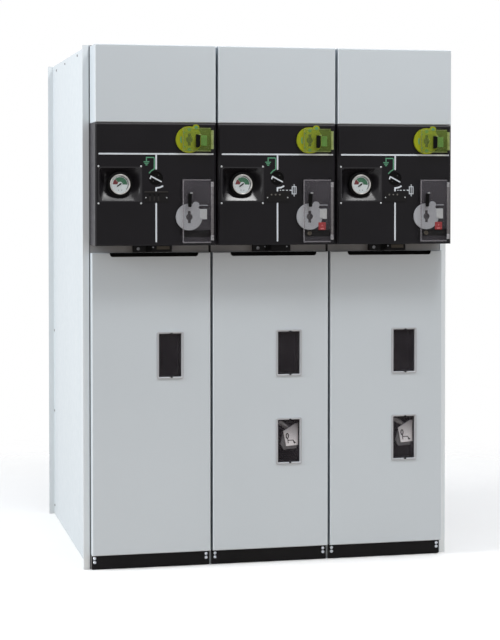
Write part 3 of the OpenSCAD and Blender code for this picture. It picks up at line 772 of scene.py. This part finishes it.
plates, lips, lamps, sockets, keys, box_screws = (bmesh.new() for _ in range(6))
locks, lock_pins, lock_plates = (bmesh.new() for _ in range(3))
for side in SIDES:
    fused = side in FUSE_SIDES
    raised(plates, on_panel(box_outline(*PLATE_X, *PLATE_Z), side), PANEL_Y, PLATE_T, 0.5)
    if not fused:
        raised(lips, on_panel(box_outline(*PLATE_X, *LIP_Z), side), PANEL_Y, LIP_T, 0.8)
    for x in LAMP_X:
        place = (CENTRE[side] + x, PANEL_Y - PLATE_T, PANEL_Z + LAMP_Z)
        turned(lamps if fused else sockets, LAMP_PROFILE, place, steps=16)
        if not fused:
            key = round_rect(CENTRE[side] + x, PANEL_Z + KEY_Z, KEY_W, KEY_H, KEY_R, 3)
            raised(keys, key, PANEL_Y - PLATE_T, KEY_T, 0.3)
    lo, hi = box_mm(side + "_interlock_box")
    mid_z = (lo.z + hi.z) / 2
    turned(box_screws, BOX_SCREW_PROFILE, (lo.x + BOX_SCREW_X, lo.y, mid_z), steps=24)
    for x0, x1, lift, proud in LOCKS:
        lock = box_outline(lo.x + x0, lo.x + x1, lo.z + lift, hi.z - 1.0)
        raised(locks, lock, lo.y, proud, LOCK_BEVEL)
    for x in LOCK_PINS[side]:
        screw_head(lock_pins, (lo.x + x, lo.y, hi.z - LOCK_PIN_DROP), LOCK_PIN_R, LOCK_PIN_H)
    if side != "middle":
        x0, x1 = (lo.x + x for x in LOCK_PLATE_X)
        raised(lock_plates, box_outline(x0, x1, mid_z - 2.5, hi.z - 2.0), lo.y, LOCK_PLATE_T, 0.4)
piece("label_plates", plates, BLACK_PAINT)
piece("label_plate_lips", lips, LIP_BROWN)
piece("presence_lamps", lamps, LAMP_BEIGE)
piece("presence_sockets", sockets, DEEP_BLACK)
piece("label_plate_keys", keys, KEY_BROWN)
piece("interlock_screws", box_screws, DARK_ZINC)
piece("interlock_locks", locks, DEEP_BLACK)
piece("interlock_pins", lock_pins, ZINC)
piece("interlock_plates", lock_plates, PLUG_BROWN)


# Lever stations behind the flaps. Blocks give their sides from a cubicle's and a disc's centre

STATION_T, HOLDER_SINK = 9.4, 1.0
TAB_Y = PANEL_Y - STATION_T
HOLDER_Y = TAB_Y + HOLDER_SINK
DISC_R = 40.0
SOCKET_R, KEYWAY_W, KEYWAY_H = 10.0, 9.0, 37.0
LINING_OUT, LINING_IN, LINING_EDGE = 0.1, 0.6, 0.4
MARK_T, MARK_BEVEL = 0.6, 0.2
DISC_DOTS = ((0.0, 30.0, 5.4), (0.0, -30.0, 5.4), (21.0, 36.0, 5.2))
DISC_BAND_R, DISC_BANDS = (27.5, 24.0), ((160.0, 202.0), (118.0, 132.0), (228.0, 242.0))
EARTH_TAB, EARTH_TAB_WING = (141.0, 155.0, -18.0, 13.0), (136.5, 141.0, -18.0, 13.0)
SWITCH_TAB, SWITCH_TAB_WING = (141.0, 154.5, -7.0, 24.0), (132.5, 141.0, -4.0, 24.0)
HOLDER, HOLDER_EDGE = (131.0, 157.0, 25.0, 34.0), (131.0, 157.5, 34.0, 36.4)
BAND, BAND_T = (79.0, 163.0, 24.0, 45.0), 1.6
PLUG_X, PLUG_Z = 101.5, 34.5
PLUG_PROFILE = [(6.6, -0.2), (6.6, 2.2), (5.8, 3.0), (4.4, 3.0), (4.0, 2.4), (4.0, 1.0), (1.2, 1.0),
                (1.0, 1.4)]
CAP_Y = DISC_Y - 1.6
CAP_LEFT, CAP_RIGHT, CAP_TOP, CAP_R = 2.5, 3.5, 0.5, 1.5
STEM_W, STEM_IN, STEM_SINK = 12.0, 1.5, 1.0
BUTTON_BAR_HALF, BUTTON_BAR_Z = 5.0, (2.6, 6.0)
BUTTON_DOT_Z, BUTTON_DOT_R = 14.0, 1.8
BUTTON_MARK_T = 0.4


def socket_outline(cx, cz):
    """Round lever socket with a keyway above and below."""
    half_w, half_h = KEYWAY_W / 2, KEYWAY_H / 2
    meet = degrees(acos(half_w / SOCKET_R))
    right = arc(cx, cz, SOCKET_R, -meet, meet, 12)
    left = arc(cx, cz, SOCKET_R, 180.0 - meet, 180.0 + meet, 12)
    return ([(cx + half_w, cz - half_h)] + right + [(cx + half_w, cz + half_h), (cx - half_w, cz + half_h)]
            + left + [(cx - half_w, cz - half_h)])


def line_socket(bm, cx, cz):
    """Thin dark lining of a lever socket's wall and floor."""
    outline = socket_outline(cx, cz)
    hollow(bm, inset(outline, LINING_OUT), inset(outline, LINING_IN), PANEL_Y - SEAT, DISC_Y + LINING_EDGE)
    raised(bm, inset(outline, 0.2), PANEL_Y, 0.5, 0.1)


def station_block(bm, cx, cz, sides, face_y, y_front, bevel=0.6):
    x0, x1, z0, z1 = sides
    prism(bm, box_outline(cx + x0, cx + x1, cz + z0, cz + z1), face_y + SEAT, y_front, bevel)


dots, tabs, white_tabs, holders, holder_edges = (bmesh.new() for _ in range(5))
bands, plugs, button_marks, linings = (bmesh.new() for _ in range(4))
for side in SIDES:
    cx = CENTRE[side]
    disc_lo = box_mm(side + "_earth_disc")[0]
    ex, ez = disc_lo.x + DISC_R, disc_lo.z + DISC_R
    sz = box_mm(side + "_switch_disc")[0].z + DISC_R
    line_socket(linings, ex, ez)
    line_socket(linings, ex, sz)
    for x, z, r in DISC_DOTS:
        raised(dots, disc(ex + x, ez + z, r, 24), DISC_Y, MARK_T, MARK_BEVEL)
    for sweep in DISC_BANDS:
        raised(dots, sector(ex, ez, DISC_BAND_R, sweep, 8), DISC_Y, MARK_T, MARK_BEVEL)
    station_block(tabs, cx, ez, EARTH_TAB, PANEL_Y, TAB_Y)
    station_block(tabs, cx, ez, EARTH_TAB_WING, DISC_Y, TAB_Y)
    station_block(white_tabs, cx, sz, SWITCH_TAB, PANEL_Y, TAB_Y)
    station_block(white_tabs, cx, sz, SWITCH_TAB_WING, DISC_Y, TAB_Y)
    station_block(holders, cx, sz, HOLDER, PANEL_Y, HOLDER_Y)
    station_block(holder_edges, cx, sz, HOLDER_EDGE, PANEL_Y, HOLDER_Y, 0.4)
    station_block(bands, cx, PANEL_Z, BAND, PANEL_Y, PANEL_Y - BAND_T, 0.4)
    if side not in FUSE_SIDES:
        continue
    turned(plugs, PLUG_PROFILE, (cx + PLUG_X, PANEL_Y - BAND_T, PANEL_Z + PLUG_Z), steps=28)
    lo, hi = box_mm(side + "_trip_button")
    left, right, top = lo.x - CAP_LEFT, hi.x - CAP_RIGHT, hi.z - CAP_TOP
    mid_x = (left + right) / 2
    button = bmesh.new()
    stem = box_outline(hi.x - STEM_W, right - STEM_IN, lo.z + STEM_IN, top - STEM_IN)
    prism(button, stem, PANEL_Y + SEAT, CAP_Y + STEM_SINK, 0.3)
    face = round_rect(mid_x, (lo.z + top) / 2, right - left, top - lo.z, CAP_R)
    prism(button, face, DISC_Y - 0.2, CAP_Y, 0.5)
    cap = piece(side + "_trip_button_cap", button, RED_PLASTIC)
    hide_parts(side + "_trip_button")
    low, high = (lo.z + z for z in BUTTON_BAR_Z)
    bar = box_outline(mid_x - BUTTON_BAR_HALF, mid_x + BUTTON_BAR_HALF, low, high)
    for mark in (bar, disc(mid_x, lo.z + BUTTON_DOT_Z, BUTTON_DOT_R, 16)):
        raised(button_marks, mark, CAP_Y, BUTTON_MARK_T, MARK_BEVEL)
piece("earth_disc_marks", dots, TAB_GREEN)
piece("earth_tabs", tabs, TAB_GREEN)
piece("switch_tabs", white_tabs, TAB_PALE)
piece("switch_tab_holders", holders, DEEP_BLACK)
piece("switch_tab_holder_edges", holder_edges, GREY_PLASTIC)
piece("switch_bands", bands, BLACK_PAINT)
piece("station_plugs", plugs, PLUG_BROWN)
piece("socket_linings", linings, SOCKET_GREY)
piece("button_marks", button_marks, PALE_RED)


# Pieces on the flaps: the black hasp with a painted highlight on its upper edge, haze that thickens upwards as
# painted light, painted edge highlights, and the hinge

FLAP_PLATE, RIM_W, GRIP_LOW, GRIP_TOP = 3.0, 2.2, 18.0, 39.0
HINGE_GAP = 5.0
HASP_SEAT, HASP_T, HASP_EDGE_T, HASP_EDGE_H = 0.2, 1.6, 1.2, 2.6
HASP_EDGE_LEFT, HASP_EDGE_RIGHT = 4.5, 3.0
HAZE_NEAR, HAZE_FAR, HAZE_BEVEL = 0.05, 0.2, 0.02
EDGE_NEAR, EDGE_FAR = 1.45, 1.6
EDGE_IN, EDGE_SIDE, EDGE_JOIN, EDGE_TOP, EDGE_LOW = 0.3, 4.0, 4.1, 3.4, 3.8
BARREL_IN = 7.5
BARREL_R, BARREL_END_R, BARREL_EDGE = 4.25, 4.1, 0.4
KNUCKLE_NEAR, KNUCKLE_FAR = ((4.15, 0.3), (4.6, 0.8)), ((4.6, 0.6), (4.2, 0.2))
HINGE_STEPS = 32
EARTH_HASP = [(119.0, 296.0), (129.0, 296.0), (132.5, 301.0), (132.5, 333.0), (119.0, 335.0)]
SWITCH_HASP = [(95.0, 118.5), (97.5, 116.0), (103.5, 116.0), (106.0, 118.5), (106.0, 157.0), (95.0, 157.0)]
EARTH_KNUCKLE, SWITCH_KNUCKLE = 14.0, 16.0


def flap_prisms(node, name, material, outlines, y_back, y_front, bevel):
    bm = bmesh.new()
    for outline in outlines:
        prism(bm, outline, y_back, y_front, bevel)
    piece(node + name, bm, material, node)


def flap_pieces(node, hasp, hasp_highlight, haze, edge_highlight_finish, knuckle_h, barrel, knuckle, gripped=False):
    """Everything that rides on one flap; a gripped flap has no haze across its grip."""
    at = JOINT_AT[node + "_hinge"]
    lo, hi = box_mm(node)
    right = at.x - HINGE_GAP
    flap_prisms(node, "_hasp", DEEP_BLACK, [hasp], FLAP_Y + HASP_SEAT, FLAP_Y - HASP_T, 0.5)
    # A pale strip on the hasp's upper edge: a painted highlight where its top faces the light from above
    x, z = hasp[-2]
    strip = box_outline(x - HASP_EDGE_LEFT, x + HASP_EDGE_RIGHT, z, z + HASP_EDGE_H)
    flap_prisms(node, "_hasp_highlight", hasp_highlight, [strip], FLAP_Y + HASP_SEAT, FLAP_Y - HASP_EDGE_T, 0.3)
    low = lo.z + (GRIP_TOP if gripped else RIM_W)
    fields = [box_outline(lo.x + RIM_W, right, low, hi.z - RIM_W)]
    if gripped:
        fields.append(box_outline(lo.x + RIM_W, right, lo.z + RIM_W, lo.z + GRIP_LOW))
    back = FLAP_Y + FLAP_PLATE
    flap_prisms(node, "_haze", haze, fields, back + HAZE_FAR, back + HAZE_NEAR, HAZE_BEVEL)
    # Paler strips along the flap's left, top and bottom edges: painted highlights where the moulded edges catch
    # the light
    edges = [box_outline(lo.x + EDGE_IN, lo.x + EDGE_SIDE, lo.z + EDGE_IN, hi.z - EDGE_IN),
             box_outline(lo.x + EDGE_JOIN, right, hi.z - EDGE_TOP, hi.z - EDGE_IN),
             box_outline(lo.x + EDGE_JOIN, right, lo.z + EDGE_IN, lo.z + EDGE_LOW)]
    flap_prisms(node, "_edges", edge_highlight_finish, edges, FLAP_Y + EDGE_FAR, FLAP_Y + EDGE_NEAR, HAZE_BEVEL)
    half = (hi.z - lo.z) / 2 - BARREL_IN
    sleeve = bmesh.new()
    turned(sleeve, [(BARREL_END_R, knuckle_h - half), (BARREL_R, knuckle_h - half + BARREL_EDGE),
                    (BARREL_R, half - knuckle_h - BARREL_EDGE), (BARREL_END_R, half - knuckle_h)],
           at, (0.0, 0.0, 1.0), steps=HINGE_STEPS)
    piece(node + "_barrel", sleeve, barrel, node)
    knuckles = bmesh.new()
    profile = [(r, half - knuckle_h + d) for r, d in KNUCKLE_NEAR] + [(r, half - d) for r, d in KNUCKLE_FAR]
    for up in (-1.0, 1.0):
        turned(knuckles, profile, at, (0.0, 0.0, up), steps=HINGE_STEPS)
    piece(node + "_knuckles", knuckles, knuckle, node)


for side in SIDES:
    flap_pieces(side + "_earth_flap", on_panel(EARTH_HASP, side), GREEN_BARREL, GREEN_HAZE_AND_TOP_LIGHT, GREEN_EDGE_HIGHLIGHT,
                EARTH_KNUCKLE, GREEN_BARREL, GREEN_BARREL)
    flap_pieces(side + "_switch_flap", on_panel(SWITCH_HASP, side), TAB_PALE, CLEAR_HAZE_AND_TOP_LIGHT, EDGE_HIGHLIGHT,
                SWITCH_KNUCKLE, FROSTED, FROSTED_BRIGHT, gripped=True)


# Door grips: black liners in the finger notches

NOTCH_X, NOTCH_W, NOTCH_H, NOTCH_D, NOTCH_R = 9.0, 274.0, 12.0, 22.0, 9.0
LINER_OUT, LINER_IN, LINER_GAP, LINER_FRONT, LINER_FLOOR = 0.3, 1.6, 0.4, 0.5, 2.0


def notch_line(shrink, cx, top):
    """Open outline of the notch from its upper left corner round to its upper right corner."""
    half, low, r = NOTCH_W / 2 - shrink, top - NOTCH_H + shrink, NOTCH_R - shrink
    left = arc(cx - half + r, low + r, r, 180.0, 270.0, 8)
    right = arc(cx + half - r, low + r, r, 270.0, 360.0, 8)
    return [Vector((cx - half, top))] + left + right + [Vector((cx + half, top))]


grips = bmesh.new()
for side in SIDES:
    notch_x = CENTRE[side] + NOTCH_X
    top = box_mm(side + "_door")[1].z - LINER_GAP
    outside, inside = notch_line(LINER_OUT, notch_x, top), notch_line(LINER_IN, notch_x, top)
    back = DOOR_Y + NOTCH_D - LINER_GAP
    prism(grips, outside + inside[::-1], back, DOOR_Y + LINER_FRONT, 0.3)
    prism(grips, inset(inside, 0.05), back, DOOR_Y + NOTCH_D - LINER_FLOOR, 0.3)
piece("grip_liners", grips, DEEP_BLACK)


# Windows: moulded frames, panes and dark wells behind them, in place of the plainer CAD node

PANE_W, PANE_H, BEZEL_W = 70.0, 133.0, 8.0
SIDE_SHARE, TOP_SHARE, SHARE_FROM = 0.85, 0.72, 2.0
CORNER_R, CORNER_GROWTH, CORNER_LEAST = 2.2, 0.4, 0.8
WELL_D = 62.0
PANE_IN, PANE_BACK, PANE_FRONT = -0.3, 6.0, 4.6
BEZEL_PROFILE = [(BEZEL_W, 0.0), (BEZEL_W, -1.6), (BEZEL_W - 0.9, -2.8), (3.0, -3.0), (2.4, -2.4),
                 (1.2, -2.2), (0.3, -1.4), (-0.2, -0.4), (-0.2, 4.5), (0.6, 4.5), (0.6, 0.0)]
WELL_PROFILE = [(1.2, 6.2), (1.2, WELL_D), (-0.2, WELL_D - 1.5), (-0.2, 6.2)]
LEDGE_PROFILE = [(-0.3, 7.0), (-0.3, 10.0), (-3.0, 10.0), (-3.0, 7.0)]
CLIP_X, CLIP_OUT, CLIP_W, CLIP_H, CLIP_R = 4.0, 0.6, 7.0, 4.6, 2.0
CLIP_BACK, CLIP_FRONT = 1.0, 3.4
CABLE_Y = DOOR_Y + 14.0
CABLE_FACE = [(-14.8, 28.7), (-5.3, -18.8), (34.0, -16.0), (34.0, 52.0), (24.5, 52.0)]
CABLE_TRAY = [(-24.3, -11.5), (-12.4, -29.8), (30.5, -27.0), (32.0, -14.0), (-5.3, -16.8), (-14.8, 20.0)]
FACE_D, TRAY_BACK, TRAY_FRONT = 4.0, 16.0, 3.0
TUBE_START, TUBE_END = (-27.0, 12.0, 60.0), (8.0, 16.0, 34.0)
TUBE_R, TUBE_EDGE = 8.0, 1.0
OVAL_AT, OVAL_W, OVAL_H, OVAL_LINE, OVAL_STEPS = (-1.6, 13.6), 5.2, 9.4, 3.2, 24
SIGN_LINES = ([(-0.1, 4.6), (1.5, -8.6)], [(1.6, -0.4), (17.5, 0.0), (20.0, -4.4)])
SIGN_W, SIGN_T = 2.4, 0.4
SIGN_DROP = [(16.6, -4.8), (21.6, -11.6), (26.4, -7.2), (21.0, -3.8)]


def offset_rect(cx, cz, out):
    """Pane's outline moved outwards, less above and below, where the bezel is slimmer."""
    aside, above = (out, out) if out < SHARE_FROM else (SIDE_SHARE * out, TOP_SHARE * out)
    radius = max(CORNER_LEAST, CORNER_R + CORNER_GROWTH * out)
    return round_rect(cx, cz, PANE_W + 2 * aside, PANE_H + 2 * above, radius)


def window_places(side):
    """Centres of a door's windows."""
    lo, hi = box_mm(side + "_windows")
    half = PANE_H / 2 + BEZEL_W
    places = [((lo.x + hi.x) / 2, hi.z - half)]
    if hi.z - lo.z > 4 * half:
        places.append((places[0][0], lo.z + half))
    return places


def window_ring(bm, profile, cx, cz):
    """Closed frame round a pane: the profile pairs a distance outwards with a depth in the door."""
    loft(bm, [at_depth(offset_rect(cx, cz, out), DOOR_Y + y) for out, y in profile], closed=True)


def cable_pieces(cx, cz):
    """Plate with its sign, tray and tube behind a lower window."""
    prism(cable_plates, shifted(CABLE_FACE, cx, cz), CABLE_Y + FACE_D, CABLE_Y, 1.0)
    prism(trays, shifted(CABLE_TRAY, cx, cz), CABLE_Y + TRAY_BACK, CABLE_Y + TRAY_FRONT, 1.2)
    start, end = (Vector((cx + x, CABLE_Y + y, cz + z)) for x, y, z in (TUBE_START, TUBE_END))
    run = end - start
    tube = [(TUBE_R - TUBE_EDGE, 0.0), (TUBE_R, TUBE_EDGE), (TUBE_R, run.length)]
    turned(tubes, tube, start, run.normalized(), steps=28)
    turns = [2 * pi * k / OVAL_STEPS for k in range(OVAL_STEPS)]
    oval = [(OVAL_W * cos(a), OVAL_H * sin(a)) for a in turns]
    oval = shifted(oval, cx + OVAL_AT[0], cz + OVAL_AT[1])
    hollow(pictograms, oval, inset(oval, OVAL_LINE), CABLE_Y + SEAT, CABLE_Y - SIGN_T)
    for points in SIGN_LINES:
        raised(pictograms, stroke(shifted(points, cx, cz), SIGN_W), CABLE_Y, SIGN_T, 0.1)
    raised(pictograms, shifted(SIGN_DROP, cx, cz), CABLE_Y, SIGN_T, 0.1)


panes, wells, clips, ledges, cable_plates, trays, tubes, pictograms = (bmesh.new() for _ in range(8))
for side in SIDES:
    frames = bmesh.new()
    places = window_places(side)
    for cx, cz in places:
        window_ring(frames, BEZEL_PROFILE, cx, cz)
        window_ring(wells, WELL_PROFILE, cx, cz)
        window_ring(ledges, LEDGE_PROFILE, cx, cz)
        pane = offset_rect(cx, cz, PANE_IN)
        prism(panes, pane, DOOR_Y + PANE_BACK, DOOR_Y + PANE_FRONT, 0.2)
        prism(wells, pane, DOOR_Y + WELL_D - 0.2, DOOR_Y + WELL_D - 2.0, 0.2)
        for up in (-1.0, 1.0):
            clip = round_rect(cx + CLIP_X, cz + up * (PANE_H / 2 + CLIP_OUT), CLIP_W, CLIP_H, CLIP_R)
            prism(clips, clip, DOOR_Y - CLIP_BACK, DOOR_Y - CLIP_FRONT, 0.4)
    for cx, cz in places[1:]:
        cable_pieces(cx, cz)
    frame_piece = piece(side + "_window_frames", frames, BEZEL_GREY)
    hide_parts(side + "_windows")
piece("window_panes", panes, PANE)
piece("window_wells", wells, DEEP_BLACK)
piece("window_clips", clips, DEEP_BLACK)
piece("window_ledges", ledges, GLOSS_BLACK)
piece("cable_plates", cable_plates, PLATE_GREY)
piece("cable_trays", trays, TUBE_GREY)
piece("cable_tubes", tubes, TUBE_PALE)
piece("cable_pictograms", pictograms, BLACK_PAINT)


# Stage: pale floor that fades into the white backdrop, soft lamps and the camera

FLOOR_SEEN = (0.90, 0.89, 0.88)
FLOOR_BOUNCE = (0.55, 0.485, 0.43, 1.0)
FLOOR_R, FLOOR_DROP, FLOOR_STEPS = 4.0, 0.0005, 96
FADE_START, FADE_END = 0.9, 2.6
AMBIENT_UP, AMBIENT_DOWN = 0.86, 0.29
AMBIENT_WARM, AMBIENT_COOL = (1.14, 0.99, 0.88, 1.0), (0.94, 1.0, 1.07, 1.0)
LEVEL_START, LEVEL_END = -0.5, 0.9
TINT_START, TINT_END = -0.1, 0.7
BACKDROP_WHITE = (1.0, 1.0, 1.0, 1.0)
FADE_PEAK = 4.24
CAMERA_AT = (-1.26179, -5.66332, 1.15826)
CAMERA_YAW, CAMERA_PITCH = -12.893, -1.628
CAMERA_LENS, CAMERA_SENSOR, CAMERA_SHIFT = 97.55, 36.0, -0.125

scene = bpy.context.scene
scene.view_settings.view_transform = "Standard"


def length_of(tree, vector):
    node = add_node(tree, "VectorMath", {0: vector})
    node.operation = "LENGTH"
    return node.outputs["Value"]


def floor_material():
    """Pale floor that throws back less light than the camera sees, and fades so that no horizon shows."""
    material = finish("studio_floor", FLOOR_SEEN, 0.6, specular=0.1, mottle=0.01, mottle_scale=1.5)
    tree = material.node_tree
    bounce = add_node(tree, "BsdfDiffuse", {"Color": FLOOR_BOUNCE})
    ray = tree.nodes.new("ShaderNodeLightPath")
    surface = mix_shaders(tree, ray.outputs["Is Diffuse Ray"], principled(material).outputs["BSDF"],
                          bounce.outputs["BSDF"])
    fade = map_range(tree, length_of(tree, frame_place(tree)), FADE_START, FADE_END, smooth=True)
    clear = tree.nodes.new("ShaderNodeBsdfTransparent")
    faded = mix_shaders(tree, fade, surface, clear.outputs["BSDF"])
    tree.links.new(faded, tree.nodes["Material Output"].inputs["Surface"])
    return material


def add_floor():
    bm = bmesh.new()
    bmesh.ops.create_circle(bm, cap_ends=True, segments=FLOOR_STEPS, radius=FLOOR_R)
    floor = add_object("floor", to_mesh("floor", bm, floor_material()))
    floor.location.z = -FLOOR_DROP


def add_world():
    """Soft light that is brighter and cooler from above, before a white backdrop."""
    world = bpy.data.worlds.new("studio")
    world.use_nodes = True
    scene.world = world
    tree = world.node_tree
    ambient = tree.nodes["Background"]
    way = tree.nodes.new("ShaderNodeTexCoord")
    height = along_axis(tree, way.outputs["Generated"], "Z")
    level = map_range(tree, height, LEVEL_START, LEVEL_END, AMBIENT_DOWN, AMBIENT_UP)
    tint = mix_colours(tree, map_range(tree, height, TINT_START, TINT_END), AMBIENT_WARM, AMBIENT_COOL)
    set_inputs(ambient, {"Strength": level, "Color": tint})
    backdrop = add_node(tree, "Background", {"Color": BACKDROP_WHITE})
    ray = tree.nodes.new("ShaderNodeLightPath")
    seen = maths(tree, "MAXIMUM", ray.outputs["Is Camera Ray"], ray.outputs["Is Glossy Ray"])
    seen = maths(tree, "MAXIMUM", seen, ray.outputs["Is Transmission Ray"])
    shown = mix_shaders(tree, seen, ambient.outputs["Background"], backdrop.outputs["Background"])
    tree.links.new(shown, tree.nodes["World Output"].inputs["Surface"])


def fade_to_edges(data):
    """Lets a lamp's face dim from its middle to its edges, with the same light in all."""
    data.use_nodes = True
    tree = data.node_tree
    face = tree.nodes.new("ShaderNodeNewGeometry")
    place = face.outputs["Parametric"]
    centred = add_node(tree, "VectorMath", {0: place, 1: (2.0, 2.0, 0.0), 2: (-1.0, -1.0, 0.0)})
    centred.operation = "MULTIPLY_ADD"
    reach = length_of(tree, centred.outputs["Vector"])
    dim = map_range(tree, reach, 0.0, 1.0, FADE_PEAK, 0.0, smooth=True)
    tree.links.new(dim, tree.nodes["Emission"].inputs["Strength"])


def soft_lamp(name, place, target, width, height, watts, colour, faded=False):
    data = bpy.data.lights.new(name, "AREA")
    if faded:
        fade_to_edges(data)
    data.color = colour
    data.shape = "RECTANGLE"
    data.size = width
    data.size_y = height
    data.energy = watts
    lamp = add_object(name, data)
    lamp.location = place
    lamp.rotation_euler = (Vector(target) - Vector(place)).to_track_quat("-Z", "Y").to_euler()


def add_camera():
    data = bpy.data.cameras.new("camera")
    data.sensor_width = CAMERA_SENSOR
    data.lens = CAMERA_LENS
    data.shift_y = CAMERA_SHIFT
    camera = add_object("camera", data)
    camera.location = CAMERA_AT
    camera.rotation_euler = (radians(90.0 + CAMERA_PITCH), 0.0, radians(CAMERA_YAW))
    scene.camera = camera


add_floor()
add_world()
soft_lamp("key", (-5.2, -0.7, 3.0), (0.0, 0.0, 0.8), 2.2, 2.2, 250.0, (0.96, 0.985, 1.0))
soft_lamp("fill", (4.0, -4.2, 1.8), (0.0, -0.4, 0.8), 2.0, 2.0, 29.0, (0.93, 0.98, 1.0))
soft_lamp("overhead", (0.82, -2.1, 4.6), (0.0, -0.4, 0.9), 1.8, 1.3, 84.0, (1.0, 1.0, 1.0), faded=True)
add_camera()
